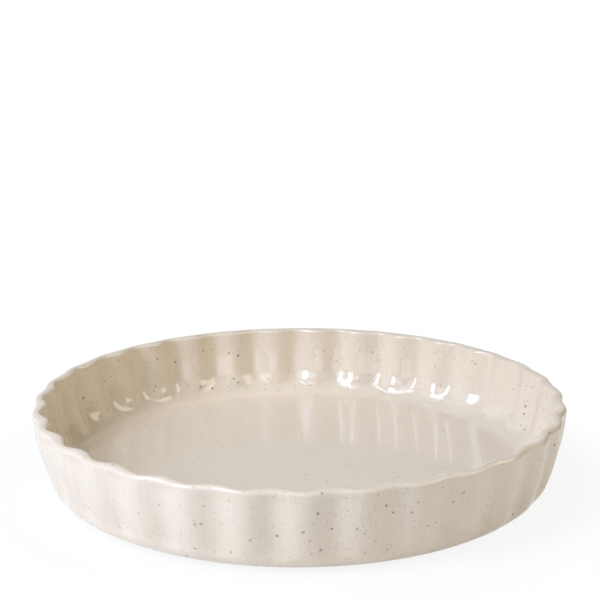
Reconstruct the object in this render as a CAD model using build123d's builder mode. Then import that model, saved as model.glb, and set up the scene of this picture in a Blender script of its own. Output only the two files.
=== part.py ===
from build123d import *
import math
import os

# Fluted quiche dish: one fired stoneware body with a fused glaze. Millimetres, +Z up.
# The origin is on the table, under the centre of the foot ring.

# Overall sizes
overall_diameter = 298.0      # across opposite flute crests, just under the lip
overall_height = 47.4         # table to the top of the lip
wall_thickness = 4.6          # clay with the glaze on both sides, square to the wall
floor_thickness = 5.5         # clay with the glaze on both sides
glaze_thickness = 0.4

# Profile of the wall, cut through a flute crest
corner_radius = 13.4          # outside, between the base and the wall
cove_radius = 18.5            # inside, between the floor and the wall
wall_arc_radius = 115.0       # gentle bow of the outside of the wall
rim_lean = 3.0                # degrees that the wall still leans outwards at the rim
lip_flat = 0.4                # level strip left between the two rounded edges of the lip

# Flutes
flute_count = 32
outer_flute_depth = 2.6       # crest to valley outside, on the middle of the wall
inner_flute_depth = 3.8       # crest to valley inside, on the middle of the wall
outer_lip_depth = 1.7         # crest to valley outside, where the lip is rounder
inner_lip_depth = 3.5         # crest to valley inside, where the lip is wavy
outer_flute_start = 1.0       # above the glazed base, where the flutes begin outside
outer_flute_rise = 13.0       # height over which they reach their full depth outside
inner_flute_start = 0.8       # above the floor of the well, where the flutes begin inside
inner_flute_rise = 9.0        # height over which they reach their full depth inside
lip_blend_height = 5.0        # height below the rounded lip over which they turn shallower

# Foot ring and the bare band where the glaze stops
foot_height = 1.0             # foot ring below the glazed base
foot_width = 5.0
foot_setback = 1.6            # foot ring inside the start of the rounded corner
foot_edge_radius = 0.35
bare_margin = 0.8             # clay left bare on each side of the foot ring

# How finely the outlines are drawn
points_per_flute = 4
corner_steps = 5
wall_steps = 7
lip_steps = 3

# Places that follow from the sizes above
half_wall = wall_thickness / 2
lip_radius = half_wall - lip_flat / 2
floor_level = foot_height + floor_thickness
clay_base_level = foot_height + glaze_thickness
lip_top_depth = (outer_lip_depth + inner_lip_depth) / 2


def smooth_step(share):
    """Rises from 0 to 1 with no corner at either end."""
    held_share = min(1, max(0, share))
    return held_share * held_share * (3 - 2 * held_share)


def depth_at(height, start_level, rise, wall_depth, lip_depth):
    """Flute depth at a height above the table: none at the corner, full on the wall, less at the lip."""
    rise_share = (height - start_level) / rise
    lip_share = (height - overall_height + lip_radius + lip_blend_height) / lip_blend_height
    full_depth = wall_depth + (lip_depth - wall_depth) * smooth_step(lip_share)
    return full_depth * smooth_step(rise_share)


def outer_depth(height):
    """Flute depth on the outer side of the wall."""
    start_level = foot_height + outer_flute_start
    return depth_at(height, start_level, outer_flute_rise, outer_flute_depth, outer_lip_depth)


def inner_depth(height):
    """Flute depth on the inner side of the wall."""
    start_level = floor_level + inner_flute_start
    return depth_at(height, start_level, inner_flute_rise, inner_flute_depth, inner_lip_depth)


def profile(crest_radius, base_level, round_radius, bow_radius, top_level, edge_radius, shift, side_depth):
    """One side of the wall from the base to the lip, as a list of (height, radius, shift, depth).

    A round corner runs into a bowed wall, which runs into the rounded edge of the lip.
    The radius is that of the flute crests. The shift is how far this surface lies outside
    the middle of the wall. An edge radius below zero rounds the lip away from the axis.
    Both sides meet in the same shallow wave on the top of the lip.
    """
    lean = math.radians(rim_lean)
    edge_size = abs(edge_radius)
    bow_top = top_level - edge_size
    bow_centre_radius = crest_radius - bow_radius * math.cos(lean)
    bow_centre_height = bow_top + bow_radius * math.sin(lean)
    round_centre_height = base_level + round_radius
    drop = round_centre_height - bow_centre_height
    round_centre_radius = bow_centre_radius + math.sqrt((bow_radius - round_radius) ** 2 - drop ** 2)
    join_angle = math.atan2(drop, round_centre_radius - bow_centre_radius)
    base_angle = -math.pi / 2
    rings = []
    for step in range(corner_steps):
        angle = base_angle + (join_angle - base_angle) * step / corner_steps
        height = round_centre_height + round_radius * math.sin(angle)
        radius = round_centre_radius + round_radius * math.cos(angle)
        rings.append((height, radius, shift, side_depth(height)))
    for step in range(wall_steps):
        angle = join_angle + (-lean - join_angle) * step / wall_steps
        height = bow_centre_height + bow_radius * math.sin(angle)
        radius = bow_centre_radius + bow_radius * math.cos(angle)
        rings.append((height, radius, shift, side_depth(height)))
    edge_depth = side_depth(bow_top)
    for step in range(lip_steps + 1):
        angle = math.pi / 2 * step / lip_steps
        inset_share = 1 - math.cos(angle)
        inset = edge_radius * inset_share
        height = bow_top + edge_size * math.sin(angle)
        depth = edge_depth + (lip_top_depth - edge_depth) * inset_share
        rings.append((height, crest_radius - inset, shift - inset, depth))
    return rings


def flute_points(crest_radius, depth, shift):
    """Points on one fluted ring: a wave along the middle of the wall, moved out by the shift."""
    middle_crest = crest_radius - shift
    count = flute_count * points_per_flute
    points = []
    for index in range(count):
        turn = 2 * math.pi * index / count
        wave = flute_count * turn
        radius = middle_crest - depth * (1 - math.cos(wave)) / 2
        slope = -depth * flute_count * math.sin(wave) / 2
        steepness = math.hypot(radius, slope)
        out_x = (slope * math.sin(turn) + radius * math.cos(turn)) / steepness
        out_y = (radius * math.sin(turn) - slope * math.cos(turn)) / steepness
        points.append((radius * math.cos(turn) + shift * out_x, radius * math.sin(turn) + shift * out_y))
    return points


def fluted_solid(rings):
    """A solid that fills a fluted profile up to its top ring."""
    with BuildPart() as filled:
        for height, crest_radius, shift, depth in rings:
            with BuildSketch(Plane.XY.offset(height)):
                with BuildLine():
                    Spline(*flute_points(crest_radius, depth, shift), periodic=True)
                make_face()
        loft()
    return filled.part


def outside(inset):
    """The outer side of the dish, moved inwards by the inset."""
    return profile(
        overall_diameter / 2 - inset,
        foot_height + inset,
        corner_radius - inset,
        wall_arc_radius - inset,
        overall_height - inset,
        lip_radius - inset,
        half_wall - inset,
        outer_depth,
    )


def inside(inset):
    """The inner side of the dish, moved into the wall by the inset."""
    return profile(
        overall_diameter / 2 - wall_thickness + inset,
        floor_level - inset,
        cove_radius + inset,
        wall_arc_radius - wall_thickness + inset,
        overall_height - inset,
        inset - lip_radius,
        inset - half_wall,
        inner_depth,
    )


base_radius = outside(0)[0][1]
foot_outer_radius = base_radius - foot_setback
foot_inner_radius = foot_outer_radius - foot_width

# Stoneware body: fluted wall, floor and bare foot ring in one firing
with BuildPart() as stoneware_body:
    add(fluted_solid(outside(glaze_thickness)))
    with BuildSketch():
        Circle(foot_outer_radius)
        Circle(foot_inner_radius, mode=Mode.SUBTRACT)
    extrude(amount=clay_base_level)
    foot_edges = stoneware_body.edges().group_by(Axis.Z)[0]
    fillet(foot_edges, foot_edge_radius)
    add(fluted_solid(inside(glaze_thickness)), mode=Mode.SUBTRACT)
stoneware_body.part.label = "stoneware_body"

# Glaze coat: well, lip and outside, down to the bare band around the foot ring
with BuildPart() as glaze_coat:
    add(fluted_solid(outside(0)))
    add(fluted_solid(inside(0)), mode=Mode.SUBTRACT)
    add(stoneware_body.part, mode=Mode.SUBTRACT)
    with BuildSketch():
        Circle(foot_outer_radius + bare_margin)
    extrude(amount=clay_base_level, mode=Mode.SUBTRACT)
glaze_coat.part.label = "glaze_coat"

# Base glaze: the separate pool of glaze inside the foot ring
with BuildPart() as base_glaze:
    with BuildSketch(Plane.XY.offset(foot_height)):
        Circle(foot_inner_radius - bare_margin)
    extrude(amount=glaze_thickness)
base_glaze.part.label = "base_glaze"

os.makedirs("parts", exist_ok=True)
for piece in (stoneware_body, glaze_coat, base_glaze):
    export_step(piece.part, f"parts/{piece.part.label}.step")
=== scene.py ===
import math

import bpy
import numpy as np
from mathutils import Matrix, Vector


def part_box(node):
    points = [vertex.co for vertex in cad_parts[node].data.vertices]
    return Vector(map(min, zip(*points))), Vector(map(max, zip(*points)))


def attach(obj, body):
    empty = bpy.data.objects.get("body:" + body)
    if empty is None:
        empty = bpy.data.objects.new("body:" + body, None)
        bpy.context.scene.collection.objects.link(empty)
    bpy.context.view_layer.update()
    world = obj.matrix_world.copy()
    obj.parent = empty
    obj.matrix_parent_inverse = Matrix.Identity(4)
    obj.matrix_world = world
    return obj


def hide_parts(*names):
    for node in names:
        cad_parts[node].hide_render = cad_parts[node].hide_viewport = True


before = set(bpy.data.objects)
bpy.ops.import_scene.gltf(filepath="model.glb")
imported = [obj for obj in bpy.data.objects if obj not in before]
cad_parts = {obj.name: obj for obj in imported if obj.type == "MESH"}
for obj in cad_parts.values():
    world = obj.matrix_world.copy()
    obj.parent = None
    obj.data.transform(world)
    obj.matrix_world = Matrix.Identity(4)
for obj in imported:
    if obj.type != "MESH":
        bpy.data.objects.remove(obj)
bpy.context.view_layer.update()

MM = 0.001

# Sizes read from the frame, in metres
RIM_INSET = 0.15 * MM             # keeps the uneven rim inside the box of the solids
coat_low, coat_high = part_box("glaze_coat")
base_low, base_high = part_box("base_glaze")
TOP = coat_high.z
FOOT_HEIGHT = base_low.z
GLAZE = base_high.z - base_low.z
RIM_RADIUS = min(coat_high.x - coat_low.x, coat_high.y - coat_low.y) / 2 - RIM_INSET
BASE_GLAZE_RADIUS = (base_high.x - base_low.x) / 2

# Sizes of the dish that the frame's boxes don't give
WALL = 4.6 * MM                   # clay with the glaze on both sides, square to the wall
FLOOR = 5.5 * MM                  # clay with the glaze on both sides
CORNER_RADIUS = 13.4 * MM         # outside, between the base and the wall
COVE_RADIUS = 18.5 * MM           # inside, between the floor and the wall
BOW_RADIUS = 115.0 * MM           # gentle bow of the outside of the wall
RIM_LEAN = math.radians(3.0)      # the wall still leans outwards at the rim
LIP_FLAT = 0.4 * MM               # level strip between the two rounded edges of the lip
FOOT_SETBACK = 1.6 * MM           # foot ring inside the start of the rounded corner
FOOT_EDGE = 0.5 * MM              # rounded edges of the foot ring
BARE_MARGIN = 0.8 * MM            # clay left bare on each side of the foot ring

# Flutes
FLUTES = 32
OUTER_DEPTH = 2.6 * MM            # crest to valley outside, on the middle of the wall
INNER_DEPTH = 3.5 * MM            # crest to valley inside, on the middle of the wall
OUTER_LIP_DEPTH = 1.7 * MM        # crest to valley outside, at the lip
INNER_LIP_DEPTH = 3.5 * MM        # crest to valley inside, at the lip
OUTER_START = 1.0 * MM            # above the glazed base, where the flutes begin outside
OUTER_RISE = 13.0 * MM            # height over which they reach their full depth outside
INNER_START = 0.8 * MM            # above the floor of the well, where the flutes begin inside
INNER_RISE = 9.0 * MM             # height over which they reach their full depth inside
LIP_BLEND = 5.0 * MM              # height below the rounded lip over which their depth changes

# Unevenness of a hand-finished dish
RIM_SADDLE = 0.49 * MM            # half of the dip of the rim at the front and the back
CREST_DROP = 0.55 * MM            # the lip is this much lower on the crests than in the valleys
CREST_BLEND = 6.0 * MM            # height below the lip over which that drop fades out
TOP_INSET = 0.15 * MM             # the lip is drawn in, so that the drift stays inside the solids' box
TOP_DROP = 0.05 * MM              # and lowered, for the same reason
# Drifts round the dish: seed, size, and the orders of the waves that are added up
FLUTE_DRIFT = (3, 0.16, (3, 5, 8, 13))            # place of the flutes, in radians of their own wave
DEPTH_DRIFT = (7, 0.10, (2, 5, 9, 14))            # depth of the flutes, as a share
WALL_DRIFT = (11, 0.25 * MM, (3, 4, 7))           # lip in or out

# Mesh fineness
COLUMNS = FLUTES * 20             # points round a ring of the glaze
BODY_COLUMNS = FLUTES * 10        # points round a ring of the clay, which the glaze covers
CORNER_ROWS = 22
WALL_ROWS = 34
LIP_ROWS = 12
FOOT_EDGE_ROWS = 5
# Rings across the level discs, as shares of their radius
FLOOR_SHARES = np.linspace(1, 0.04, 17)[1:]
CLAY_BASE_SHARES = np.linspace(0.05, 0.98, 6)
BASE_GLAZE_SHARES = np.linspace(0.05, 0.995, 12)
BASE_GLAZE_BACK_SHARES = np.linspace(0.9, 0.05, 4)

# Places that follow from the sizes above
HALF_WALL = WALL / 2
LIP_RADIUS = HALF_WALL - LIP_FLAT / 2
LIP_TOP_DEPTH = (OUTER_LIP_DEPTH + INNER_LIP_DEPTH) / 2
FLOOR_LEVEL = FOOT_HEIGHT + FLOOR
CLAY_FLOOR_LEVEL = FLOOR_LEVEL - GLAZE
CLAY_BASE_LEVEL = FOOT_HEIGHT + GLAZE

# Glaze: colours, gloss, and noises as waves per metre, detail and roughness
GLAZE_COLOUR = (0.81, 0.69, 0.52, 1)
GLAZE_THIN = (0.77, 0.64, 0.46, 1)                # where the glaze is thin over the clay
GLAZE_ROUGHNESS = 0.08
GLAZE_IOR = 1.5
CLOUDS = (28.0, 3.0, 0.5)
CLOUD_STRENGTH = 0.5
STREAKS = (420.0, 2.0, 0.6)
STREAK_STRETCH = 0.12                             # fineness down the wall, as a share of that round it
STREAK_STRENGTH = 1.6
RIPPLES = (260.0, 2.0, 0.5)
RIPPLE_HEIGHT = 0.012 * MM

# Specks: layers of cell size, share of cells with a speck, largest radius, softness, strength, tone, seed
SPECK_DARK = (0.12, 0.08, 0.04, 1)
SPECK_BROWN = (0.36, 0.25, 0.14, 1)
SPECKS = (
    (1.9 * MM, 0.95, 0.45 * MM, 0.50, 0.60, SPECK_BROWN, (3.1, 1.7, 0.4)),
    (3.6 * MM, 0.90, 0.60 * MM, 0.50, 0.75, SPECK_BROWN, (1.3, 5.2, 2.2)),
    (5.2 * MM, 0.90, 0.82 * MM, 0.40, 1.00, SPECK_DARK, (0.3, 4.4, 2.9)),
)
SMALLEST_SPECK = 0.25                             # share of the largest radius
FAINTEST_SPECK = 0.3                              # share of the full strength
CROWDING = (22.0, 2.0, 0.6)                       # noise that makes patches with fainter specks
CROWDING_RANGE = (0.35, 0.65)
SPARSE_SPECKS = 0.35                              # strength left in such a patch
WELL_SPECKS = 0.4                                 # strength left on the floor of the well
WELL_EDGE = 118 * MM                              # radius where the floor of the well ends
WALL_FOOT = 134 * MM                              # radius where the wall has begun

# Bare clay
CLAY_DARK = (0.60, 0.49, 0.37, 1)
CLAY_LIGHT = (0.72, 0.62, 0.50, 1)
CLAY_SPECK = (0.16, 0.11, 0.08, 1)
CLAY_SPECKS = (3.0 * MM, 0.4, 0.5 * MM, 0.4, (2.0, 0.6, 5.1))
CLAY_GRAIN = (900.0, 4.0, 0.6)
CLAY_GRAIN_HEIGHT = 0.05 * MM
CLAY_ROUGHNESS = 0.85

# Floor and surroundings
WHITE = (1, 1, 1, 1)
FLOOR_HALF = 8.0
FLOOR_COLOUR = (0.86, 0.86, 0.86, 1)
FLOOR_WHITE_NEAR = 0.88           # share of plain white that the camera sees beside the dish
FLOOR_FADE = (0.145, 0.205)       # distances from the axis between which it rises to all white
FLOOR_MIRRORED = 0.7              # share of plain white that the glaze mirrors
SOFT_LIGHT = 0.03
SURROUND_COLOUR = (1.0, 0.95, 0.88, 1)
SURROUND_FADE = (0.74, 0.92)      # Y of a mirrored direction, from where the surround begins to its full
SURROUND_SHARE = 0.62             # strength behind the dish

# Lamps: bearing and elevation in degrees, width and height in metres, power in watts, tint
LAMP_DISTANCE = 1.5
LAMPS = {
    "key": (-150, 36, 0.50, 1.05, 16.2, (0.855, 0.98, 1.31)),
    "key_high": (-160, 64, 0.90, 0.32, 5.2, (0.92, 1.0, 1.22)),
    "key_front": (-119, 38, 0.55, 0.60, 2.6, (0.94, 1.0, 1.20)),
    "left": (180, 22, 0.70, 0.60, 0.9, (0.92, 1.0, 1.20)),
    "fill": (-6, 36, 0.72, 0.82, 7.2, (1.05, 1.0, 0.89)),
    "front": (-90, 12, 1.10, 0.45, 2.7, (1.0, 1.0, 1.05)),
    "back": (90, 6, 1.20, 0.24, 6.0, (0.98, 1.0, 1.04)),
}

# Camera, at the photograph's viewing angle
CAMERA_DISTANCE = 0.7958
CAMERA_BEARING = -90.9
CAMERA_ELEVATION = 17.68
CAMERA_ROLL = -0.00409            # radians
SENSOR_WIDTH = 36.0
FRAME_PX = 600.0
FOCAL_PX = 1404.6
RIM_CENTRE_PX = (299.11, 394.02)
RIM_CENTRE_HEIGHT = TOP - 0.8 * MM
NEAREST = 0.01
FARTHEST = 50.0


def smooth_step(share):
    """Rises from 0 to 1 with no corner at either end."""
    held = np.clip(share, 0, 1)
    return held * held * (3 - 2 * held)


def hand_made(turn, seed, size, orders):
    """A gentle unevenness round the dish: a sum of a few waves with seeded sizes and phases."""
    random = np.random.default_rng(seed)
    total = np.zeros_like(turn)
    for order in orders:
        weight = random.uniform(0.4, 1.0) / len(orders)
        total += weight * np.sin(order * turn + random.uniform(0, 2 * math.pi))
    return size * total


def depth_at(height, start_level, rise, wall_depth, lip_depth):
    """Flute depth at a height above the table."""
    lip_share = smooth_step((height - TOP + LIP_RADIUS + LIP_BLEND) / LIP_BLEND)
    depth = wall_depth + (lip_depth - wall_depth) * lip_share
    return depth * smooth_step((height - start_level) / rise)


def outer_depth(height):
    return depth_at(height, FOOT_HEIGHT + OUTER_START, OUTER_RISE, OUTER_DEPTH, OUTER_LIP_DEPTH)


def inner_depth(height):
    return depth_at(height, FLOOR_LEVEL + INNER_START, INNER_RISE, INNER_DEPTH, INNER_LIP_DEPTH)


def side_profile(crest_radius, base_level, round_radius, bow_radius, top_level, edge_radius, shift,
                 side_depth):
    """One side of the wall from the base to the lip, as rows of (height, crest radius, shift, depth).

    A round corner runs into a bowed wall, which runs into the rounded edge of the lip.
    The shift is how far this surface lies outside the middle of the wall.
    An edge radius below zero rounds the lip away from the axis.
    """
    edge_size = abs(edge_radius)
    bow_top = top_level - edge_size
    bow_centre_radius = crest_radius - bow_radius * math.cos(RIM_LEAN)
    bow_centre_height = bow_top + bow_radius * math.sin(RIM_LEAN)
    round_centre_height = base_level + round_radius
    drop = round_centre_height - bow_centre_height
    round_centre_radius = bow_centre_radius + math.sqrt((bow_radius - round_radius) ** 2 - drop ** 2)
    join = math.atan2(drop, round_centre_radius - bow_centre_radius)
    rows = []
    for angle in np.linspace(-math.pi / 2, join, CORNER_ROWS, endpoint=False):
        height = round_centre_height + round_radius * math.sin(angle)
        radius = round_centre_radius + round_radius * math.cos(angle)
        rows.append((height, radius, shift, side_depth(height)))
    for angle in np.linspace(join, -RIM_LEAN, WALL_ROWS, endpoint=False):
        height = bow_centre_height + bow_radius * math.sin(angle)
        radius = bow_centre_radius + bow_radius * math.cos(angle)
        rows.append((height, radius, shift, side_depth(height)))
    edge_depth = side_depth(bow_top)
    for angle in np.linspace(0, math.pi / 2, LIP_ROWS):
        share = 1 - math.cos(angle)
        inset = edge_radius * share
        depth = edge_depth + (LIP_TOP_DEPTH - edge_depth) * share
        rows.append((bow_top + edge_size * math.sin(angle), crest_radius - inset, shift - inset, depth))
    return rows


def outer_side(inset):
    """The outer side of the dish, moved inwards by the inset."""
    return side_profile(RIM_RADIUS - inset, FOOT_HEIGHT + inset, CORNER_RADIUS - inset,
                        BOW_RADIUS - inset, TOP - inset, LIP_RADIUS - inset, HALF_WALL - inset, outer_depth)


def inner_side(inset):
    """The inner side of the dish, moved into the wall by the inset."""
    return side_profile(RIM_RADIUS - WALL + inset, FLOOR_LEVEL - inset, COVE_RADIUS + inset,
                        BOW_RADIUS - WALL + inset, TOP - inset, inset - LIP_RADIUS, inset - HALF_WALL,
                        inner_depth)


# Radii of the foot ring and the floors, which end where the first row of a side begins
FOOT_OUTER = outer_side(0)[0][1] - FOOT_SETBACK
FOOT_INNER = BASE_GLAZE_RADIUS + BARE_MARGIN
FLOOR_EDGE = inner_side(0)[0][1]
CLAY_FLOOR_EDGE = inner_side(GLAZE)[0][1]


def fluted_ring(row, columns):
    """The points of one fluted ring, with the unevenness of a hand-finished dish."""
    height, crest_radius, shift, even_depth = row
    turn = np.linspace(0, 2 * math.pi, columns, endpoint=False)
    height_share = height / TOP
    wave = FLUTES * turn + hand_made(turn, *FLUTE_DRIFT)
    depth = even_depth * (1 + hand_made(turn, *DEPTH_DRIFT))
    drift = hand_made(turn, *WALL_DRIFT) * height_share - TOP_INSET * height_share
    radius = crest_radius - shift + drift - depth * (1 - np.cos(wave)) / 2
    slope = -(depth * FLUTES / 2) * np.sin(wave)
    steepness = np.hypot(radius, slope)
    out_x = (slope * np.sin(turn) + radius * np.cos(turn)) / steepness
    out_y = (radius * np.sin(turn) - slope * np.cos(turn)) / steepness
    lift = (RIM_SADDLE * (np.cos(2 * turn) - 1) - TOP_DROP) * height_share ** 2
    lift -= CREST_DROP * smooth_step((height - TOP) / CREST_BLEND + 1) * (1 + np.cos(wave)) / 2
    points = np.empty((columns, 3))
    points[:, 0] = radius * np.cos(turn) + shift * out_x
    points[:, 1] = radius * np.sin(turn) + shift * out_y
    points[:, 2] = height + lift
    return points


def round_ring(radius, height, columns):
    """The points of one plain round ring."""
    turn = np.linspace(0, 2 * math.pi, columns, endpoint=False)
    return np.stack([radius * np.cos(turn), radius * np.sin(turn), np.full(columns, height)], -1)


def disc_rings(radii, height, columns):
    """Plain rings that cover a level disc."""
    return [round_ring(radius, height, columns) for radius in radii]


def skin_rings(inset, columns):
    """Rings over one surface of the dish: up the outside, over the lip and down to the floor's edge."""
    return [fluted_ring(row, columns) for row in outer_side(inset) + inner_side(inset)[::-1]]


def smooth_mesh(name, points, quads, triangles):
    """A smooth-shaded mesh from arrays of points, four-sided faces and triangles."""
    corners = np.concatenate([quads.ravel(), triangles.ravel()])
    sides = np.concatenate([np.full(len(quads), 4), np.full(len(triangles), 3)])
    starts = np.concatenate([[0], np.cumsum(sides)[:-1]])
    mesh = bpy.data.meshes.new(name)
    mesh.vertices.add(len(points))
    mesh.vertices.foreach_set("co", points.astype(np.float32).ravel())
    mesh.loops.add(len(corners))
    mesh.loops.foreach_set("vertex_index", corners.astype(np.int32))
    mesh.polygons.add(len(sides))
    mesh.polygons.foreach_set("loop_start", starts.astype(np.int32))
    mesh.update(calc_edges=True)
    mesh.polygons.foreach_set("use_smooth", np.ones(len(sides), bool))
    mesh.validate()
    return mesh


def ring_shell(name, rings, material):
    """A closed solid from rings that run from the axis, round the section and back to the axis."""
    columns = len(rings[0])
    points = np.concatenate([*rings, [rings[0].mean(0)], [rings[-1].mean(0)]])
    first_centre = len(rings) * columns
    last_ring = first_centre - columns
    here = np.arange(columns)
    after = (here + 1) % columns
    quads = []
    for low in range(0, last_ring, columns):
        high = low + columns
        quads.append(np.stack([low + here, low + after, high + after, high + here], -1))
    start_fan = np.stack([after, here, np.full(columns, first_centre)], -1)
    end_fan = np.stack([last_ring + here, last_ring + after, np.full(columns, first_centre + 1)], -1)
    mesh = smooth_mesh(name, points, np.concatenate(quads), np.concatenate([start_fan, end_fan]))
    mesh.materials.append(material)
    piece = bpy.data.objects.new(name, mesh)
    bpy.context.scene.collection.objects.link(piece)
    return piece


def plug(tree, socket, value):
    """Sets a socket to a constant, or links the output of another node to it."""
    if isinstance(value, bpy.types.NodeSocket):
        tree.links.new(value, socket)
    else:
        socket.default_value = value


def node(tree, kind, **inputs):
    """A new node, with inputs that are named like its sockets."""
    made = tree.nodes.new(kind)
    for key, value in inputs.items():
        plug(tree, made.inputs[key], value)
    return made


def maths(tree, operation, *values):
    """The result of one operation on two or three values."""
    made = tree.nodes.new("ShaderNodeMath")
    made.operation = operation
    for socket, value in zip(made.inputs, values):
        plug(tree, socket, value)
    return made.outputs[0]


def vector_length(tree, vector):
    made = tree.nodes.new("ShaderNodeVectorMath")
    made.operation = "LENGTH"
    plug(tree, made.inputs[0], vector)
    return made.outputs["Value"]


def remap(tree, value, low, high, to_low=0.0, to_high=1.0, kind="SMOOTHSTEP"):
    """A value mapped from one range to another and held at both ends."""
    made = tree.nodes.new("ShaderNodeMapRange")
    made.interpolation_type = kind
    ends = {"Value": value, "From Min": low, "From Max": high, "To Min": to_low, "To Max": to_high}
    for key, end in ends.items():
        plug(tree, made.inputs[key], end)
    return made.outputs["Result"]


def noise(tree, position, scale, detail, roughness):
    """A cloudy pattern from 0 to 1."""
    made = node(tree, "ShaderNodeTexNoise", Vector=position, Scale=scale, Detail=detail, Roughness=roughness)
    return made.outputs[0]


def mix_colour(tree, factor, first, second):
    made = tree.nodes.new("ShaderNodeMix")
    made.data_type = "RGBA"
    for index, value in ((0, factor), (6, first), (7, second)):
        plug(tree, made.inputs[index], value)
    return made.outputs[2]


def mix_shader(tree, factor, first, second):
    made = tree.nodes.new("ShaderNodeMixShader")
    for socket, value in zip(made.inputs, (factor, first, second)):
        plug(tree, socket, value)
    return made.outputs[0]


def speckle(tree, position, cell_size, chance, radius, softness, seed_shift):
    """Scattered round specks: a mask that is 1 inside a speck, and a random shade for each speck."""
    shift = tree.nodes.new("ShaderNodeVectorMath")
    shift.operation = "ADD"
    plug(tree, shift.inputs[0], position)
    plug(tree, shift.inputs[1], seed_shift)
    cells = node(tree, "ShaderNodeTexVoronoi", Vector=shift.outputs[0], Scale=1 / cell_size)
    split = node(tree, "ShaderNodeSeparateColor", Color=cells.outputs["Color"])
    present = maths(tree, "LESS_THAN", split.outputs[0], chance)
    size = maths(tree, "MULTIPLY_ADD", split.outputs[1], (1 - SMALLEST_SPECK) * radius / cell_size,
                 SMALLEST_SPECK * radius / cell_size)
    inner = maths(tree, "MULTIPLY", size, 1 - softness)
    outer = maths(tree, "MULTIPLY", size, 1 + softness)
    spot = remap(tree, cells.outputs["Distance"], inner, outer, 1.0, 0.0)
    return maths(tree, "MULTIPLY", spot, present), split.outputs[2]


def wall_share(tree, position):
    """0 over the floor of the well and 1 on the wall, by the distance from the axis of the dish."""
    split = node(tree, "ShaderNodeSeparateXYZ", Vector=position)
    level = node(tree, "ShaderNodeCombineXYZ", X=split.outputs["X"], Y=split.outputs["Y"])
    return remap(tree, vector_length(tree, level.outputs[0]), WELL_EDGE, WALL_FOOT)


def wall_streaks(tree, position):
    """Fine streaks that run down the wall: a pattern that swings about zero."""
    split = node(tree, "ShaderNodeSeparateXYZ", Vector=position)
    turn = maths(tree, "ARCTAN2", split.outputs["Y"], split.outputs["X"])
    around = maths(tree, "MULTIPLY", turn, RIM_RADIUS)
    down = maths(tree, "MULTIPLY", split.outputs["Z"], STREAK_STRETCH)
    lay = node(tree, "ShaderNodeCombineXYZ", X=around, Y=down)
    grain = noise(tree, lay.outputs[0], *STREAKS)
    return maths(tree, "MULTIPLY", maths(tree, "SUBTRACT", grain, 0.5), STREAK_STRENGTH)


def new_material(name):
    """A material with one principled shader, and the position on the piece."""
    material = bpy.data.materials.new(name)
    material.use_nodes = True
    tree = material.node_tree
    tree.nodes.clear()
    shader = tree.nodes.new("ShaderNodeBsdfPrincipled")
    node(tree, "ShaderNodeOutputMaterial", Surface=shader.outputs["BSDF"])
    position = tree.nodes.new("ShaderNodeTexCoord").outputs["Object"]
    return material, tree, shader, position


def glaze_material():
    """Glossy cream glaze: cloudy, streaked on the wall, speckled and faintly rippled."""
    material, tree, shader, position = new_material("cream_speckled_glaze")
    on_wall = wall_share(tree, position)
    clouds = maths(tree, "MULTIPLY", noise(tree, position, *CLOUDS), CLOUD_STRENGTH)
    streaks = maths(tree, "MULTIPLY", wall_streaks(tree, position), on_wall)
    colour = mix_colour(tree, maths(tree, "ADD", clouds, streaks), GLAZE_COLOUR, GLAZE_THIN)
    crowding = noise(tree, position, *CROWDING)
    crowd = remap(tree, crowding, *CROWDING_RANGE, SPARSE_SPECKS, 1.0, "LINEAR")
    kept = maths(tree, "MULTIPLY_ADD", on_wall, 1 - WELL_SPECKS, WELL_SPECKS)
    for cell_size, chance, radius, softness, strength, tone, seed_shift in SPECKS:
        specks, shade = speckle(tree, position, cell_size, chance, radius, softness, seed_shift)
        depth = maths(tree, "MULTIPLY_ADD", shade, 1 - FAINTEST_SPECK, FAINTEST_SPECK)
        share = maths(tree, "MULTIPLY", specks, maths(tree, "MULTIPLY", depth, crowd))
        share = maths(tree, "MULTIPLY", maths(tree, "MULTIPLY", share, strength), kept)
        colour = mix_colour(tree, share, colour, tone)
    ripples = noise(tree, position, *RIPPLES)
    bump = node(tree, "ShaderNodeBump", Distance=RIPPLE_HEIGHT, Height=ripples)
    plug(tree, shader.inputs["Base Color"], colour)
    plug(tree, shader.inputs["Roughness"], GLAZE_ROUGHNESS)
    plug(tree, shader.inputs["IOR"], GLAZE_IOR)
    plug(tree, shader.inputs["Normal"], bump.outputs[0])
    return material


def clay_material():
    """Bare fired clay: matte, grainy and finely specked."""
    material, tree, shader, position = new_material("bare_stoneware")
    grain = noise(tree, position, *CLAY_GRAIN)
    specks, _ = speckle(tree, position, *CLAY_SPECKS)
    colour = mix_colour(tree, specks, mix_colour(tree, grain, CLAY_DARK, CLAY_LIGHT), CLAY_SPECK)
    bump = node(tree, "ShaderNodeBump", Distance=CLAY_GRAIN_HEIGHT, Height=grain)
    plug(tree, shader.inputs["Base Color"], colour)
    plug(tree, shader.inputs["Roughness"], CLAY_ROUGHNESS)
    plug(tree, shader.inputs["Normal"], bump.outputs[0])
    return material


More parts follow.
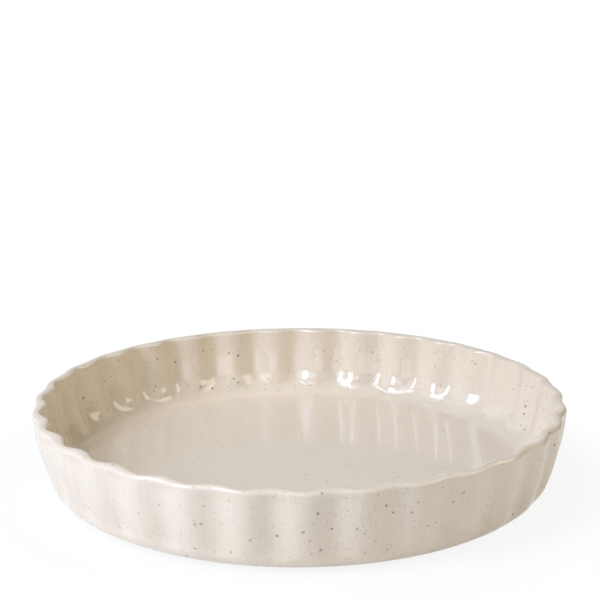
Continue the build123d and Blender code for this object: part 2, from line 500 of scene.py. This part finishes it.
def floor_material():
    """A matte floor that the camera sees as near white, with the shadow of the dish left in it."""
    material = bpy.data.materials.new("white_sweep")
    material.use_nodes = True
    tree = material.node_tree
    tree.nodes.clear()
    matte = node(tree, "ShaderNodeBsdfDiffuse", Color=FLOOR_COLOUR)
    white = node(tree, "ShaderNodeEmission", Color=WHITE, Strength=1.0)
    path = tree.nodes.new("ShaderNodeLightPath")
    position = tree.nodes.new("ShaderNodeTexCoord").outputs["Object"]
    fade = remap(tree, vector_length(tree, position), *FLOOR_FADE)
    share = maths(tree, "MULTIPLY_ADD", fade, 1 - FLOOR_WHITE_NEAR, FLOOR_WHITE_NEAR)
    mirrored = maths(tree, "MULTIPLY", path.outputs["Is Glossy Ray"], FLOOR_MIRRORED)
    seen = maths(tree, "MAXIMUM", path.outputs["Is Camera Ray"], mirrored)
    seen = maths(tree, "MAXIMUM", seen, path.outputs["Is Transmission Ray"])
    blend = mix_shader(tree, maths(tree, "MULTIPLY", seen, share), matte.outputs[0], white.outputs[0])
    node(tree, "ShaderNodeOutputMaterial", Surface=blend)
    return material


def coat_rings():
    """The coat from the axis under the well, over the clay to the bare band, and back over its outside."""
    band_radius = FOOT_OUTER + BARE_MARGIN
    rings = disc_rings(CLAY_FLOOR_EDGE * FLOOR_SHARES[::-1], CLAY_FLOOR_LEVEL, COLUMNS)
    rings += skin_rings(GLAZE, COLUMNS)[::-1]
    rings.append(round_ring(band_radius, CLAY_BASE_LEVEL, COLUMNS))
    rings.append(round_ring(band_radius, FOOT_HEIGHT + GLAZE / 2, COLUMNS))
    rings.append(round_ring(band_radius + GLAZE / 2, FOOT_HEIGHT, COLUMNS))
    rings += skin_rings(0, COLUMNS)
    rings += disc_rings(FLOOR_EDGE * FLOOR_SHARES, FLOOR_LEVEL, COLUMNS)
    return rings


def body_rings():
    """The clay from the axis under the base, over the foot ring and round the wall, to the well."""
    rings = disc_rings(CLAY_BASE_SHARES * FOOT_INNER, CLAY_BASE_LEVEL, BODY_COLUMNS)
    for angle in np.linspace(0, math.pi / 2, FOOT_EDGE_ROWS):
        radius = FOOT_INNER + FOOT_EDGE * (1 - math.cos(angle))
        rings.append(round_ring(radius, FOOT_EDGE * (1 - math.sin(angle)), BODY_COLUMNS))
    for angle in np.linspace(math.pi / 2, 0, FOOT_EDGE_ROWS):
        radius = FOOT_OUTER - FOOT_EDGE * (1 - math.cos(angle))
        rings.append(round_ring(radius, FOOT_EDGE * (1 - math.sin(angle)), BODY_COLUMNS))
    rings.append(round_ring(FOOT_OUTER, CLAY_BASE_LEVEL, BODY_COLUMNS))
    rings += skin_rings(GLAZE, BODY_COLUMNS)
    rings += disc_rings(CLAY_FLOOR_EDGE * FLOOR_SHARES, CLAY_FLOOR_LEVEL, BODY_COLUMNS)
    return rings


def base_glaze_rings():
    """The pool of glaze inside the foot ring, from its lower face to its upper one."""
    rings = disc_rings(BASE_GLAZE_SHARES * BASE_GLAZE_RADIUS, FOOT_HEIGHT, COLUMNS)
    rings.append(round_ring(BASE_GLAZE_RADIUS, FOOT_HEIGHT + GLAZE / 2, COLUMNS))
    rings.append(round_ring(BASE_GLAZE_RADIUS, CLAY_BASE_LEVEL, COLUMNS))
    rings += disc_rings(BASE_GLAZE_BACK_SHARES * BASE_GLAZE_RADIUS, CLAY_BASE_LEVEL, COLUMNS)
    return rings


def add_floor():
    """A wide level floor that the dish stands on."""
    corners = [(-FLOOR_HALF, -FLOOR_HALF, 0), (FLOOR_HALF, -FLOOR_HALF, 0),
               (FLOOR_HALF, FLOOR_HALF, 0), (-FLOOR_HALF, FLOOR_HALF, 0)]
    mesh = bpy.data.meshes.new("floor")
    mesh.from_pydata(corners, [], [(0, 1, 2, 3)])
    mesh.materials.append(floor_material())
    floor = bpy.data.objects.new("floor", mesh)
    bpy.context.scene.collection.objects.link(floor)


def add_world():
    """Soft light, plain white for the camera, and a warm pale surround that only the glaze mirrors."""
    world = bpy.data.worlds.new("studio")
    bpy.context.scene.world = world
    world.use_nodes = True
    tree = world.node_tree
    tree.nodes.clear()
    soft = node(tree, "ShaderNodeBackground", Color=WHITE, Strength=SOFT_LIGHT)
    white = node(tree, "ShaderNodeBackground", Color=WHITE, Strength=1.0)
    surround = node(tree, "ShaderNodeBackground", Color=SURROUND_COLOUR, Strength=1.0)
    path = tree.nodes.new("ShaderNodeLightPath")
    direction = tree.nodes.new("ShaderNodeTexCoord").outputs["Generated"]
    split = node(tree, "ShaderNodeSeparateXYZ", Vector=direction)
    behind = remap(tree, split.outputs["Y"], *SURROUND_FADE, 0.0, SURROUND_SHARE)
    mirrored = maths(tree, "MULTIPLY", path.outputs["Is Glossy Ray"], behind)
    around = mix_shader(tree, mirrored, soft.outputs[0], surround.outputs[0])
    blend = mix_shader(tree, path.outputs["Is Camera Ray"], around, white.outputs[0])
    node(tree, "ShaderNodeOutputWorld", Surface=blend)


def direction_to(bearing, elevation):
    """The direction from the dish to a lamp or the camera, from angles in degrees."""
    turn, rise = math.radians(bearing), math.radians(elevation)
    return Vector((math.cos(turn) * math.cos(rise), math.sin(turn) * math.cos(rise), math.sin(rise)))


def softbox(name, bearing, elevation, width, height, power, tint):
    """A rectangular lamp that faces the dish."""
    lamp = bpy.data.lights.new(name, "AREA")
    lamp.shape = "RECTANGLE"
    lamp.size = width
    lamp.size_y = height
    lamp.energy = power
    lamp.color = tint
    holder = bpy.data.objects.new(name, lamp)
    outward = direction_to(bearing, elevation)
    holder.location = outward * LAMP_DISTANCE
    holder.rotation_mode = "QUATERNION"
    holder.rotation_quaternion = (-outward).to_track_quat("-Z", "Y")
    bpy.context.scene.collection.objects.link(holder)
    return holder


def add_camera():
    """A camera aimed at the centre of the rim, then turned so that the centre lies at its pixel."""
    data = bpy.data.cameras.new("camera")
    camera = bpy.data.objects.new("camera", data)
    bpy.context.scene.collection.objects.link(camera)
    bpy.context.scene.camera = camera
    data.sensor_width = SENSOR_WIDTH
    data.lens = FOCAL_PX / FRAME_PX * SENSOR_WIDTH
    data.clip_start = NEAREST
    data.clip_end = FARTHEST
    outward = direction_to(CAMERA_BEARING, CAMERA_ELEVATION)
    camera.location = Vector((0, 0, RIM_CENTRE_HEIGHT)) + outward * CAMERA_DISTANCE
    aim = (-outward).to_track_quat("-Z", "Y").to_matrix()
    yaw = math.atan((RIM_CENTRE_PX[0] - FRAME_PX / 2) / FOCAL_PX)
    tilt = math.atan((RIM_CENTRE_PX[1] - FRAME_PX / 2) / FOCAL_PX)
    swing = Matrix.Rotation(tilt, 3, "X") @ Matrix.Rotation(yaw, 3, "Y")
    camera.rotation_mode = "QUATERNION"
    camera.rotation_quaternion = (aim @ swing @ Matrix.Rotation(CAMERA_ROLL, 3, "Z")).to_quaternion()


glaze = glaze_material()
clay = clay_material()

# The dish: each piece with its rings, its material, the solid that it replaces and its finish
PIECES = (
    ("glaze_skin", coat_rings(), glaze, "glaze_coat", "glaze"),
    ("stoneware", body_rings(), clay, "stoneware_body", "stoneware"),
    ("underside_glaze", base_glaze_rings(), glaze, "base_glaze", "glaze"),
)
for name, rings, material, replaced, slot in PIECES:
    piece = ring_shell(name, rings, material)
    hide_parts(replaced)
    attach(piece, "root")

# The studio
add_floor()
add_world()
lamps = {name: softbox(name, *settings) for name, settings in LAMPS.items()}
lamps["back"].visible_glossy = False
add_camera()
bpy.context.scene.view_settings.view_transform = "Standard"
